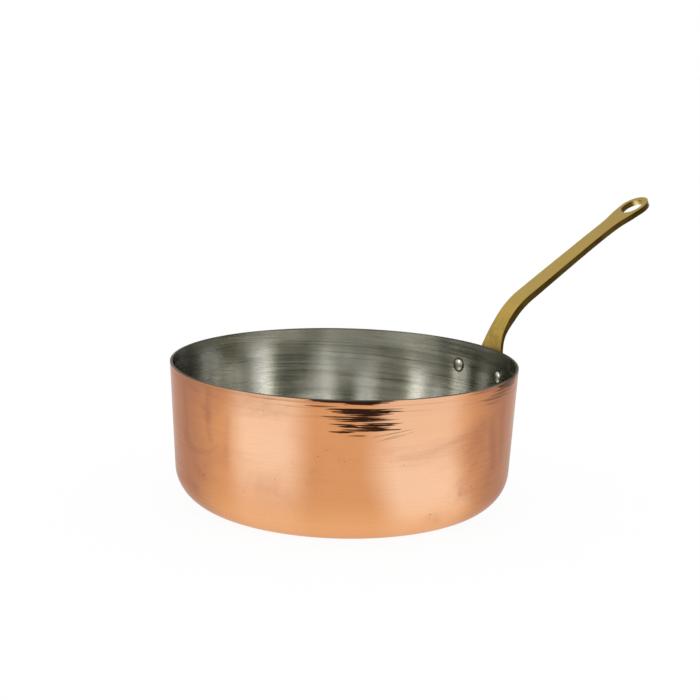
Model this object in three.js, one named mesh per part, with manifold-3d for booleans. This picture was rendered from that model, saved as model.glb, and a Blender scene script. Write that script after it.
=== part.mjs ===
// Copper saucepan: a raised copper pan with a wiped tin lining, and a cast brass handle
// held by three rivets. Millimetres, +Z up, the handle along +X, the origin at the centre of the base.

import * as THREE from 'three';
import { mergeVertices } from 'three/addons/utils/BufferGeometryUtils.js';
import Module from 'manifold-3d';

const wasm = await Module();
wasm.setup();

// Pan
const RIM_RADIUS = 140;
const PAN_HEIGHT = 114;
const WALL_FLARE = 3.05 * Math.PI / 180;
const BASE_CORNER_RADIUS = 30.4;
const COPPER_THICKNESS = 1.6;
const TIN_THICKNESS = 0.4;
const FIT_GAP = 0.1;
const PAN_SEGMENTS = 72;
const CORNER_STEPS = 6;

// Handle, measured on its upper face from the level of the rim
const NECK_START_RADIUS = 147.4;
const NECK_START_SLOPE = 75.1 * Math.PI / 180;
const GRIP_SLOPE = 31.8 * Math.PI / 180;
const NECK_BEND_RADIUS = 73.4;
const GRIP_EASE_START = 130;
const GRIP_EASE_RADIUS = 1000;
const HANDLE_LENGTH = 206;
const NECK_THICKNESS = 5.6;
const GRIP_THICKNESS = 4.4;
const EYE_CENTRE = 191;
const EYE_HALF_WIDTH = 13.1;
const EYE_HOLE_HALF_LENGTH = 10;
const EYE_HOLE_HALF_WIDTH = 9;

// Half width of the bar against distance along it
const BAR_HALF_WIDTHS = [[0, 12.7], [12, 10.2], [25, 9.1], [60, 9.3], [100, 9.0], [140, 8.6],
  [165, 9.1], [180, 11.8], [EYE_CENTRE, EYE_HALF_WIDTH]];

// Foot of the handle and its rivets, placed down from the rim
const FOOT_GAP = 0.3;
const FOOT_THICKNESS = 4;
const FOOT_TOP_DROP = 11;
const LOBE_RADIUS = 11;
const ROOT_BOTTOM_DROP = 40;
const UPPER_RIVET_DROP = 21.3;
const LOWER_RIVET_DROP = 49;
const UPPER_RIVET_ANGLE = 11.85 * Math.PI / 180;
const RIVET_HEAD_RADIUS = 5.4;
const RIVET_HEAD_HEIGHT = 2.3;
const RIVET_SHANK_RADIUS = 3;
const RIVET_CLEARANCE = 0.3;
const RIVET_SEGMENTS = 16;

const copper = new THREE.MeshStandardMaterial({ color: 0xd98a63, roughness: 0.3, metalness: 1 });
const tin = new THREE.MeshStandardMaterial({ color: 0x9a978b, roughness: 0.4, metalness: 1 });
const brass = new THREE.MeshStandardMaterial({ color: 0xb19650, roughness: 0.4, metalness: 1 });

// Booleans

function toSolid(geometry, matrix = new THREE.Matrix4()) {
  const bare = geometry.clone();
  bare.applyMatrix4(matrix);
  bare.deleteAttribute('normal');
  bare.deleteAttribute('uv');
  const merged = mergeVertices(bare, 1e-4);
  const mesh = new wasm.Mesh({
    numProp: 3,
    vertProperties: new Float32Array(merged.attributes.position.array),
    triVerts: new Uint32Array(merged.index.array),
  });
  return new wasm.Manifold(mesh);
}

function toGeometry(solid) {
  const mesh = solid.getMesh();
  const geometry = new THREE.BufferGeometry();
  geometry.setAttribute('position', new THREE.BufferAttribute(new Float32Array(mesh.vertProperties), 3));
  geometry.setIndex(new THREE.BufferAttribute(new Uint32Array(mesh.triVerts), 1));
  geometry.computeVertexNormals();
  return geometry;
}

// Turns a closed outline about +Z. Its points are [radius, height], counter-clockwise.
function turned(outline, segments) {
  const points = outline.map(([radius, height]) => new THREE.Vector2(radius, height));
  const geometry = new THREE.LatheGeometry(points, segments, Math.PI / 2);
  geometry.rotateX(Math.PI / 2);
  return geometry;
}

// Pan walls

function wallRadius(height, inset) {
  const slant = (PAN_HEIGHT - height) * Math.tan(WALL_FLARE);
  return RIM_RADIUS - slant - inset / Math.cos(WALL_FLARE);
}

// Half section of the pan's skin at a depth below its outer face, from the axis to a stated top
function skin(inset, top) {
  const radius = BASE_CORNER_RADIUS - inset;
  const sweep = Math.PI / 2 - WALL_FLARE;
  const centreHeight = BASE_CORNER_RADIUS;
  const touchHeight = centreHeight - radius * Math.sin(WALL_FLARE);
  const centreRadius = wallRadius(touchHeight, inset) - radius * Math.cos(WALL_FLARE);
  const points = [[0, inset]];
  for (let step = 0; step <= CORNER_STEPS; step += 1) {
    const angle = -Math.PI / 2 + sweep * step / CORNER_STEPS;
    points.push([centreRadius + radius * Math.cos(angle), centreHeight + radius * Math.sin(angle)]);
  }
  points.push([wallRadius(top, inset), top]);
  return points;
}

function copperBody() {
  const top = PAN_HEIGHT - TIN_THICKNESS - FIT_GAP;
  const outline = [...skin(0, top), ...skin(COPPER_THICKNESS, top).reverse()];
  return toSolid(turned([...outline, outline[0]], PAN_SEGMENTS)).subtract(rivetHoles());
}

function tinLining() {
  const back = COPPER_THICKNESS + FIT_GAP;
  const lip = PAN_HEIGHT - TIN_THICKNESS;
  const outline = [...skin(back, lip), [wallRadius(lip, 0), lip], [RIM_RADIUS, PAN_HEIGHT],
    ...skin(back + TIN_THICKNESS, PAN_HEIGHT).reverse()];
  return toSolid(turned([...outline, outline[0]], PAN_SEGMENTS)).subtract(rivetHoles());
}

// Handle

// Point of the bar's upper face at a distance along it: [radius, height, slope]
function facePoint(distance) {
  const bendEnd = NECK_BEND_RADIUS * (NECK_START_SLOPE - GRIP_SLOPE);
  const bend = Math.min(distance, bendEnd);
  const slope = NECK_START_SLOPE - bend / NECK_BEND_RADIUS;
  let radius = NECK_START_RADIUS + NECK_BEND_RADIUS * (Math.sin(NECK_START_SLOPE) - Math.sin(slope));
  let height = PAN_HEIGHT + NECK_BEND_RADIUS * (Math.cos(slope) - Math.cos(NECK_START_SLOPE));
  const straight = Math.max(0, Math.min(distance, GRIP_EASE_START) - bendEnd);
  radius += straight * Math.cos(slope);
  height += straight * Math.sin(slope);
  const ease = Math.max(0, distance - GRIP_EASE_START) / GRIP_EASE_RADIUS;
  radius += GRIP_EASE_RADIUS * (Math.sin(slope) - Math.sin(slope - ease));
  height += GRIP_EASE_RADIUS * (Math.cos(slope - ease) - Math.cos(slope));
  return [radius, height, slope - ease];
}

function barThickness(distance) {
  return THREE.MathUtils.lerp(NECK_THICKNESS, GRIP_THICKNESS, THREE.MathUtils.smoothstep(distance, 20, 120));
}

function underPoint(distance) {
  const [radius, height, slope] = facePoint(distance);
  const thickness = barThickness(distance);
  return [radius + thickness * Math.sin(slope), height - thickness * Math.cos(slope)];
}

// Distances along the bar at which its side view has a corner
function barStations() {
  const stations = [];
  for (let distance = 0; distance < 60; distance += 6) stations.push(distance);
  for (let distance = 60; distance <= HANDLE_LENGTH + 2; distance += 18.5) stations.push(distance);
  return stations;
}

// The side view pulled out across the bar's width, centred on the symmetry plane
function sideSlab(points, width) {
  const shape = new THREE.Shape(points.map(([radius, height]) => new THREE.Vector2(radius, height)));
  const geometry = new THREE.ExtrudeGeometry(shape, { depth: width, bevelEnabled: false });
  geometry.translate(0, 0, -width / 2);
  geometry.rotateX(Math.PI / 2);
  return toSolid(geometry);
}

function barSolid() {
  const stations = barStations();
  const upper = stations.map((distance) => facePoint(distance).slice(0, 2));
  const lower = stations.map(underPoint).reverse();
  const slab = sideSlab([...lower, ...upper], 40);
  return slab.intersect(planPrism(barOutline()));
}

// Plan view of the bar and its eye: [distance, half width]
function barOutline() {
  const knots = BAR_HALF_WIDTHS.map(([distance, half]) => new THREE.Vector3(distance, half, 0));
  const curve = new THREE.CatmullRomCurve3(knots, false, 'centripetal');
  const edge = curve.getSpacedPoints(36).map((point) => [point.x, point.y]);
  const tipLength = HANDLE_LENGTH - EYE_CENTRE;
  for (let step = 1; step <= 8; step += 1) {
    const angle = step / 8 * Math.PI / 2;
    edge.push([EYE_CENTRE + tipLength * Math.sin(angle), EYE_HALF_WIDTH * Math.cos(angle)]);
  }
  return edge;
}

// Upright prism over an outline that is given along the bar
function planPrism(edge) {
  const along = edge.map(([distance, half]) => [planRadius(distance), half]);
  const mirrored = along.slice(0, -1).reverse().map(([radius, half]) => [radius, -half]);
  const shape = new THREE.Shape([...along, ...mirrored].map(([x, y]) => new THREE.Vector2(x, y)));
  const geometry = new THREE.ExtrudeGeometry(shape, { depth: 200, bevelEnabled: false });
  geometry.translate(0, 0, 80);
  return toSolid(geometry);
}

function planRadius(distance) {
  return facePoint(distance)[0];
}

function eyeHole() {
  const shape = new THREE.Shape();
  shape.absellipse(0, 0, EYE_HOLE_HALF_LENGTH, EYE_HOLE_HALF_WIDTH, 0, 2 * Math.PI);
  const geometry = new THREE.ExtrudeGeometry(shape, { depth: 30, bevelEnabled: false, curveSegments: 14 });
  geometry.translate(0, 0, -15);
  const [radius, height, slope] = facePoint(EYE_CENTRE);
  geometry.rotateY(-slope);
  geometry.translate(radius, 0, height);
  return toSolid(geometry);
}

// Thickened root between the foot and the bar, as a side view cut to a tapering front view
function rootSolid() {
  const topHeight = PAN_HEIGHT - FOOT_TOP_DROP;
  const bottomHeight = PAN_HEIGHT - ROOT_BOTTOM_DROP;
  const inner = wallRadius(topHeight, -FOOT_GAP);
  const [upperRadius, upperHeight] = facePoint(6);
  const [underRadius, underHeight] = underPoint(6);
  const [startRadius, startHeight] = facePoint(0);
  const side = new THREE.Shape();
  side.moveTo(wallRadius(bottomHeight, -FOOT_GAP), bottomHeight);
  side.lineTo(wallRadius(bottomHeight, -FOOT_GAP - FOOT_THICKNESS), bottomHeight);
  side.quadraticCurveTo(underRadius - 2, bottomHeight + 16, underRadius, underHeight);
  side.lineTo(upperRadius, upperHeight);
  side.lineTo(startRadius, startHeight);
  side.quadraticCurveTo(startRadius - 2.4, topHeight + 1, inner, topHeight);
  const slab = new THREE.ExtrudeGeometry(side, { depth: 60, bevelEnabled: false, curveSegments: 8 });
  slab.translate(0, 0, -30);
  slab.rotateX(Math.PI / 2);
  const front = new THREE.Shape();
  const neckHalf = BAR_HALF_WIDTHS[0][1];
  front.moveTo(7, bottomHeight - 1);
  front.quadraticCurveTo(12, topHeight - 20, 16.5, topHeight);
  front.quadraticCurveTo(neckHalf + 1, topHeight + 5, neckHalf - 0.8, upperHeight + 1);
  front.lineTo(-neckHalf + 0.8, upperHeight + 1);
  front.quadraticCurveTo(-neckHalf - 1, topHeight + 5, -16.5, topHeight);
  front.quadraticCurveTo(-12, topHeight - 20, -7, bottomHeight - 1);
  return toSolid(slab).intersect(frontPrism(front));
}

// Prism pulled out along +X from a front view drawn in Y and Z
function frontPrism(shape) {
  const geometry = new THREE.ExtrudeGeometry(shape, { depth: 60, bevelEnabled: false, curveSegments: 8 });
  const toFront = new THREE.Matrix4().makeBasis(
    new THREE.Vector3(0, 1, 0), new THREE.Vector3(0, 0, 1), new THREE.Vector3(1, 0, 0));
  geometry.applyMatrix4(toFront);
  geometry.translate(110, 0, 0);
  return toSolid(geometry);
}

// Three-lobed plate that hugs the wall
function footPlate() {
  const side = wallRadius(PAN_HEIGHT - UPPER_RIVET_DROP, 0) * Math.sin(UPPER_RIVET_ANGLE);
  const upper = PAN_HEIGHT - UPPER_RIVET_DROP;
  const lower = PAN_HEIGHT - LOWER_RIVET_DROP;
  const shape = new THREE.Shape();
  shape.moveTo(0, PAN_HEIGHT - FOOT_TOP_DROP);
  shape.quadraticCurveTo(-side / 2, PAN_HEIGHT - FOOT_TOP_DROP, -side, upper + LOBE_RADIUS);
  shape.absarc(-side, upper, LOBE_RADIUS, Math.PI / 2, 1.35 * Math.PI, false);
  shape.quadraticCurveTo(-LOBE_RADIUS - 4, lower + 18, -LOBE_RADIUS, lower);
  shape.absarc(0, lower, LOBE_RADIUS, Math.PI, 2 * Math.PI, false);
  shape.quadraticCurveTo(LOBE_RADIUS + 4, lower + 18, side + LOBE_RADIUS * Math.cos(-0.35 * Math.PI),
    upper + LOBE_RADIUS * Math.sin(-0.35 * Math.PI));
  shape.absarc(side, upper, LOBE_RADIUS, -0.35 * Math.PI, Math.PI / 2, false);
  shape.quadraticCurveTo(side / 2, PAN_HEIGHT - FOOT_TOP_DROP, 0, PAN_HEIGHT - FOOT_TOP_DROP);
  return frontPrism(shape).intersect(wallBand(FOOT_GAP, FOOT_GAP + FOOT_THICKNESS));
}

// Cone-shaped band between two distances outside the pan's wall, faceted as the pan is
function wallBand(near, far) {
  const bottom = PAN_HEIGHT - 80;
  const top = PAN_HEIGHT + 20;
  const outline = [[wallRadius(bottom, -near), bottom], [wallRadius(bottom, -far), bottom],
    [wallRadius(top, -far), top], [wallRadius(top, -near), top]];
  return toSolid(turned([...outline, outline[0]], PAN_SEGMENTS));
}

function handleSolid() {
  const blank = barSolid().add(rootSolid()).add(footPlate());
  return blank.subtract(wallBand(FOOT_GAP - 12, FOOT_GAP)).subtract(eyeHole()).subtract(rivetHoles());
}

// Rivets

// Frame of a rivet whose axis is square to the wall, +Z pointing outwards, its origin on the wall's
// outer face
function rivetMatrix(angle, drop) {
  const height = PAN_HEIGHT - drop;
  const tilt = new THREE.Matrix4().makeRotationY(Math.PI / 2 + WALL_FLARE);
  const place = new THREE.Matrix4().makeTranslation(wallRadius(height, 0), 0, height);
  return new THREE.Matrix4().makeRotationZ(angle).multiply(place).multiply(tilt);
}

const RIVETS = [
  { name: 'rivet_upper_left', angle: UPPER_RIVET_ANGLE, drop: UPPER_RIVET_DROP },
  { name: 'rivet_upper_right', angle: -UPPER_RIVET_ANGLE, drop: UPPER_RIVET_DROP },
  { name: 'rivet_lower', angle: 0, drop: LOWER_RIVET_DROP },
];

function rivetHoles() {
  const holes = RIVETS.map(({ angle, drop }) => {
    const drill = new THREE.CylinderGeometry(RIVET_SHANK_RADIUS + RIVET_CLEARANCE,
      RIVET_SHANK_RADIUS + RIVET_CLEARANCE, 60, RIVET_SEGMENTS);
    drill.rotateX(Math.PI / 2);
    return toSolid(drill, rivetMatrix(angle, drop));
  });
  return holes.reduce((all, hole) => all.add(hole));
}

// Domed head inside, shank through the wall and the foot, domed head outside
function rivetGeometry(outerSeat) {
  const innerSeat = -(COPPER_THICKNESS + FIT_GAP + TIN_THICKNESS + RIVET_CLEARANCE);
  const outline = [...dome(innerSeat, -1).reverse(), [RIVET_SHANK_RADIUS, innerSeat],
    [RIVET_SHANK_RADIUS, outerSeat], ...dome(outerSeat, 1)];
  return turned(outline, RIVET_SEGMENTS);
}

// Head profile from its edge to the axis, standing off a seat in a direction of 1 or -1
function dome(seat, direction) {
  const points = [];
  for (let step = 0; step <= 5; step += 1) {
    const angle = step / 5 * Math.PI / 2;
    const height = RIVET_HEAD_HEIGHT * Math.sin(angle);
    points.push([RIVET_HEAD_RADIUS * Math.cos(angle), seat + direction * height]);
  }
  points[5][0] = 0;
  return points;
}

// Assembly

function piece(name, geometry, material) {
  const mesh = new THREE.Mesh(geometry, material);
  mesh.name = name;
  return mesh;
}

const saucepan = new THREE.Group();
saucepan.add(piece('copper_body', toGeometry(copperBody()), copper));
saucepan.add(piece('tin_lining', toGeometry(tinLining()), tin));
saucepan.add(piece('handle', toGeometry(handleSolid()), brass));
for (const { name, angle, drop } of RIVETS) {
  const seat = FOOT_GAP + FOOT_THICKNESS + RIVET_CLEARANCE;
  const rivet = piece(name, rivetGeometry(seat), tin);
  rivet.applyMatrix4(rivetMatrix(angle, drop));
  saucepan.add(rivet);
}

export default saucepan;
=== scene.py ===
"""Copper saucepan: a tinned copper pan with a cast brass handle held on by three rivets.

Each sub-assembly is a class that holds its own sizes, builds its mesh and dresses it. Lengths are in
metres, +Z is up, the handle points along +X and the origin is the centre of the pan's base.
"""

import logging
import math
from dataclasses import dataclass
from enum import Enum
from typing import ClassVar, Optional, Sequence, Union

import bmesh
import bpy
from mathutils import Matrix, Vector


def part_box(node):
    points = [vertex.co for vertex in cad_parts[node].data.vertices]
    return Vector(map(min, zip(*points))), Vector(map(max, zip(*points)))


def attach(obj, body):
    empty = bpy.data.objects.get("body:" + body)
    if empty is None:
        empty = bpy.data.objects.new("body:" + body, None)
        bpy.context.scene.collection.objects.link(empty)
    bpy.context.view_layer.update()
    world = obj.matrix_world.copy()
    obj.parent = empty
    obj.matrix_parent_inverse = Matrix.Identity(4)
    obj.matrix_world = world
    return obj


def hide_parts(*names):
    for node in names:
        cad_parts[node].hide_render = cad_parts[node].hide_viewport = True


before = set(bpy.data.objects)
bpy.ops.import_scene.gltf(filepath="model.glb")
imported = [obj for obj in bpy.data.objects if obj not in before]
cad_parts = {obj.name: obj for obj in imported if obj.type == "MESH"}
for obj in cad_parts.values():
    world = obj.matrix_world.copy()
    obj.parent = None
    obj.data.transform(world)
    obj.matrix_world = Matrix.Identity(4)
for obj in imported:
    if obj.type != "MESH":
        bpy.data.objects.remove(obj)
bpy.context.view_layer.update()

log = logging.getLogger("saucepan")

MM = 0.001
CREASE = math.radians(34)
BODY = "root"

Colour = tuple[float, float, float]
Sizes = tuple[float, float, float]
Value = Union["Num", float]


# Meshes


def new_piece(name: str, shape: bmesh.types.BMesh) -> bpy.types.Object:
    """Make an object of a finished shape, with smooth shading.

    Args:
        name: The piece's name.
        shape: Its mesh in the row frame, which is freed here.

    Returns:
        The linked object, at the origin.
    """
    mesh = bpy.data.meshes.new(name)
    shape.to_mesh(mesh)
    shape.free()
    mesh.polygons.foreach_set("use_smooth", [True] * len(mesh.polygons))
    mesh.set_sharp_from_angle(angle=CREASE)
    piece = bpy.data.objects.new(name, mesh)
    bpy.context.scene.collection.objects.link(piece)
    return piece


def settle(piece: bpy.types.Object) -> None:
    """Apply every modifier of a piece to its mesh.

    Args:
        piece: The object whose modifiers are applied and removed.
    """
    graph = bpy.context.evaluated_depsgraph_get()
    finished = bpy.data.meshes.new_from_object(piece.evaluated_get(graph))
    piece.modifiers.clear()
    piece.data = finished
    finished.polygons.foreach_set("use_smooth", [True] * len(finished.polygons))
    finished.set_sharp_from_angle(angle=CREASE)


def spin_outline(outline: Sequence[Vector], steps: int, closed: bool) -> bmesh.types.BMesh:
    """Spin an outline in the XZ plane a full turn about Z into a closed shell.

    Args:
        outline: The outline's points.
        steps: How many steps the turn takes.
        closed: Whether the outline's last point joins its first.

    Returns:
        The shell, its seam and poles merged and its faces pointing out.
    """
    shape = bmesh.new()
    ring = [shape.verts.new(point) for point in outline]
    edges = [shape.edges.new(pair) for pair in zip(ring, ring[1:])]
    if closed:
        edges.append(shape.edges.new((ring[-1], ring[0])))
    bmesh.ops.spin(shape, geom=ring + edges, cent=(0, 0, 0), axis=(0, 0, 1), angle=math.tau,
                   steps=steps, use_merge=True)
    bmesh.ops.remove_doubles(shape, verts=shape.verts[:], dist=0.001 * MM)
    bmesh.ops.recalc_face_normals(shape, faces=shape.faces[:])
    return shape


def arc(centre: Vector, radius: float, start: float, end: float, steps: int) -> list[Vector]:
    """Points along an arc in the XZ plane.

    Args:
        centre: The arc's centre.
        radius: Its radius.
        start: Its first angle from +X towards +Z, in radians.
        end: Its last angle.
        steps: How many steps it takes.

    Returns:
        The points, both ends included.
    """
    angles = [start + (end - start) * step / steps for step in range(steps + 1)]
    return [centre + Vector((radius * math.cos(a), 0, radius * math.sin(a))) for a in angles]


def ease(value: float, low: float, high: float) -> float:
    """Smooth step of a value from 0 at low to 1 at high."""
    share = min(1.0, max(0.0, (value - low) / (high - low)))
    return share * share * (3 - 2 * share)


def through(knots: Sequence[tuple[float, float]], at: float) -> float:
    """Smooth curve through knots, read at one place.

    Args:
        knots: Pairs of place and value, in rising order of place.
        at: Where the curve is read; it is held at its ends.

    Returns:
        The curve's value.
    """
    if at <= knots[0][0]:
        return knots[0][1]
    if at >= knots[-1][0]:
        return knots[-1][1]
    last = len(knots) - 1
    i = next(n for n in range(last) if at <= knots[n + 1][0])

    def slope(n: int) -> float:
        """Slope of the curve at one knot."""
        low, high = knots[max(0, n - 1)], knots[min(last, n + 1)]
        return (high[1] - low[1]) / (high[0] - low[0])

    (x0, y0), (x1, y1) = knots[i], knots[i + 1]
    span = x1 - x0
    t = (at - x0) / span
    start = (1 + 2 * t) * (1 - t) ** 2 * y0 + t * (1 - t) ** 2 * span * slope(i)
    return start + t * t * (3 - 2 * t) * y1 + t * t * (t - 1) * span * slope(i + 1)


# Shader nodes


class Num:
    """A shader value: arithmetic on it adds Math nodes."""

    def __init__(self, shade: "Shade", socket: bpy.types.NodeSocket) -> None:
        """Wrap a socket.

        Args:
            shade: The material that the socket is in.
            socket: A float output.
        """
        self.shade = shade
        self.socket = socket

    def math(self, operation: str, *others: Value) -> "Num":
        """Add a Math node whose first input is this value.

        Args:
            operation: The node's operation.
            others: The other inputs.

        Returns:
            The node's result.
        """
        inputs = dict(enumerate((self, *others)))
        made = self.shade.node("ShaderNodeMath", {"operation": operation}, inputs)
        return Num(self.shade, made.outputs[0])

    def __add__(self, other: Value) -> "Num":
        """This value plus another."""
        return self.math("ADD", other)

    __radd__ = __add__

    def __mul__(self, other: Value) -> "Num":
        """This value times another."""
        return self.math("MULTIPLY", other)

    __rmul__ = __mul__

    def __sub__(self, other: Value) -> "Num":
        """This value minus another."""
        return self.math("SUBTRACT", other)

    def __rsub__(self, other: float) -> "Num":
        """A number minus this value."""
        return self.math("MULTIPLY_ADD", -1.0, other)

    def __truediv__(self, other: Value) -> "Num":
        """This value over another."""
        return self.math("DIVIDE", other)

    def __abs__(self) -> "Num":
        """This value without its sign."""
        return self.math("ABSOLUTE")

    def step(self, low: float, high: float) -> "Num":
        """Smooth step from 0 at low to 1 at high, or down if low is the larger.

        Args:
            low: Where the step is 0.
            high: Where the step is 1.

        Returns:
            The step.
        """
        bottom, top = min(low, high), max(low, high)
        ends = (0.0, 1.0) if low < high else (1.0, 0.0)
        made = self.shade.node("ShaderNodeMapRange", {"interpolation_type": "SMOOTHSTEP"},
                               {0: self, 1: bottom, 2: top, 3: ends[0], 4: ends[1]})
        return Num(self.shade, made.outputs[0])


class Shade:
    """One material's node tree."""

    def __init__(self, name: str) -> None:
        """Start an empty material.

        Args:
            name: The finish's name.
        """
        self.material = bpy.data.materials.new(name)
        self.material.use_nodes = True
        self.tree = self.material.node_tree
        self.tree.nodes.clear()
        place = self.node("ShaderNodeTexCoord", {}, {})
        self.spot = place.outputs["Object"]
        self.facing = place.outputs["Normal"]

    def node(self, kind: str, settings: dict, inputs: dict) -> bpy.types.Node:
        """Add a node.

        Args:
            kind: The node's type.
            settings: Its properties, set first.
            inputs: What each of its sockets holds: a number, a colour, a socket or a Num.

        Returns:
            The node.
        """
        made = self.tree.nodes.new(kind)
        for name, value in settings.items():
            setattr(made, name, value)
        for name, value in inputs.items():
            self.plug(made.inputs[name], value)
        return made

    def plug(self, socket: bpy.types.NodeSocket, value: object) -> None:
        """Give a socket a value or a link.

        Args:
            socket: The input.
            value: A number, a colour, a vector, a socket or a Num.
        """
        source = value.socket if isinstance(value, Num) else value
        if isinstance(source, bpy.types.NodeSocket):
            self.tree.links.new(source, socket)
        elif socket.type == "RGBA":
            socket.default_value = (*source, 1.0)
        else:
            socket.default_value = source

    def split(self, vector: bpy.types.NodeSocket) -> tuple[Num, Num, Num]:
        """The three parts of a vector."""
        parts = self.node("ShaderNodeSeparateXYZ", {}, {0: vector}).outputs
        return Num(self, parts[0]), Num(self, parts[1]), Num(self, parts[2])

    def join(self, x: Value, y: Value, z: Value) -> bpy.types.NodeSocket:
        """A vector made of three values."""
        return self.node("ShaderNodeCombineXYZ", {}, {0: x, 1: y, 2: z}).outputs[0]

    def mapped(self, vector: bpy.types.NodeSocket, scale: Sequence[float],
               turn: Sequence[float] = (0, 0, 0), shift: Sequence[float] = (0, 0, 0)) -> bpy.types.NodeSocket:
        """A vector stretched, turned and shifted.

        Args:
            vector: The vector.
            scale: Factors along its axes.
            turn: Euler angles in radians.
            shift: An offset, added last.

        Returns:
            The mapped vector.
        """
        return self.node("ShaderNodeMapping", {"vector_type": "POINT"},
                         {"Vector": vector, "Scale": scale, "Rotation": turn, "Location": shift}).outputs[0]

    def noise(self, vector: bpy.types.NodeSocket, scale: float, detail: float = 4.0,
              roughness: float = 0.5, distortion: float = 0.0) -> Num:
        """Cloudy noise about 0.5.

        Args:
            vector: Where it is read.
            scale: How many lumps in a unit.
            detail: Octaves.
            roughness: How strong each finer octave is.
            distortion: How far it is warped.

        Returns:
            The noise, from 0 to 1.
        """
        made = self.node("ShaderNodeTexNoise", {},
                         {"Vector": vector, "Scale": scale, "Detail": detail, "Roughness": roughness,
                          "Distortion": distortion})
        return Num(self, made.outputs[0])

    def length(self, vector: bpy.types.NodeSocket) -> Num:
        """The length of a vector."""
        made = self.node("ShaderNodeVectorMath", {"operation": "LENGTH"}, {0: vector})
        return Num(self, made.outputs["Value"])

    def blend(self, share: Value, first: object, second: object) -> bpy.types.NodeSocket:
        """Mix two colours.

        Args:
            share: How much of the second colour shows, from 0 to 1.
            first: The first colour.
            second: The second colour.

        Returns:
            The mixed colour.
        """
        made = self.node("ShaderNodeMix", {"data_type": "RGBA"}, {"Factor": share, 6: first, 7: second})
        return made.outputs[2]

    def close(self, base: object, roughness: Value, bump: Optional[Num], bump_depth: float,
              constants: dict) -> bpy.types.Material:
        """Finish the material with a metal shader.

        Args:
            base: The metal's colour.
            roughness: Its roughness.
            bump: The height of its fine relief, from 0 to 1, if it has any.
            bump_depth: The relief's depth in metres.
            constants: Other sockets of the shader and their fixed values.

        Returns:
            The material.
        """
        inputs = {"Base Color": base, "Roughness": roughness, "Metallic": 1.0, **constants}
        if bump is not None:
            relief = self.node("ShaderNodeBump", {},
                               {"Strength": 1.0, "Distance": bump_depth, "Height": bump})
            inputs["Normal"] = relief.outputs[0]
        metal = self.node("ShaderNodeBsdfPrincipled", {}, inputs)
        self.node("ShaderNodeOutputMaterial", {}, {"Surface": metal.outputs[0]})
        return self.material


# The pan


@dataclass(frozen=True)
class PanShape:
    """Sizes of the pan's skin, and places on it."""

    rim_radius: float
    height: float
    flare: float = math.radians(3.05)
    corner_radius: float = 30.4 * MM
    copper_thickness: float = 1.65 * MM
    tin_thickness: float = 0.4 * MM
    edge_ring: float = 0.8 * MM

    @classmethod
    def from_frame(cls) -> "PanShape":
        """Read the rim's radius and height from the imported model."""
        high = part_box("tin_lining")[1]
        return cls(rim_radius=high.x, height=high.z)

    def wall_radius(self, height: float, inset: float = 0.0) -> float:
        """Radius of the wall.

        Args:
            height: Height above the base.
            inset: Depth below the outer face.

        Returns:
            The distance from the axis.
        """
        return self.rim_radius - (self.height - height) * math.tan(self.flare) - inset / math.cos(self.flare)

    def skin(self, inset: float, top: float, corner_steps: int = 24, wall_steps: int = 12,
             base_steps: int = 8) -> list[Vector]:
        """Half section of the skin at a depth below the outer face.

        Args:
            inset: The depth.
            top: The height where the section stops.
            corner_steps: Steps round the bottom corner.
            wall_steps: Steps up the wall.
            base_steps: Steps across the base.

        Returns:
            Points from the axis to the top.
        """
        radius = self.corner_radius - inset
        touch = self.corner_radius - radius * math.sin(self.flare)
        centre_radius = self.wall_radius(touch, inset) - radius * math.cos(self.flare)
        centre = Vector((centre_radius, 0, self.corner_radius))
        corner = arc(centre, radius, -math.pi / 2, -self.flare, corner_steps)
        base = [Vector((centre.x * step / base_steps, 0, inset)) for step in range(base_steps)]
        climb = top - self.edge_ring - touch
        rise = [touch + climb * step / wall_steps for step in range(1, wall_steps + 1)] + [top]
        return base + corner + [Vector((self.wall_radius(z, inset), 0, z)) for z in rise]

    def at(self, angle: float, drop: float) -> Matrix:
        """Frame of a spot on the wall's outer face, +Z outwards and +X down the wall.

        Args:
            angle: Angle about Z from the handle.
            drop: Distance below the rim.

        Returns:
            The frame.
        """
        height = self.height - drop
        spot = Matrix.Translation((self.wall_radius(height), 0, height))
        return Matrix.Rotation(angle, 4, "Z") @ spot @ Matrix.Rotation(math.pi / 2 + self.flare, 4, "Y")


@dataclass(frozen=True)
class Streak:
    """A streak across the wall: lens-shaped, frayed along the brushing."""

    middle: float
    reach: float
    drop: float
    half_height: float
    strength: float = 1.0
    tilt: float = 0.0


@dataclass(frozen=True)
class Drip:
    """A soft tarnished line down the wall, where something once ran and dried."""

    middle: float
    top: float
    bottom: float
    half_width: float
    lean: float = 0.0


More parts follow.
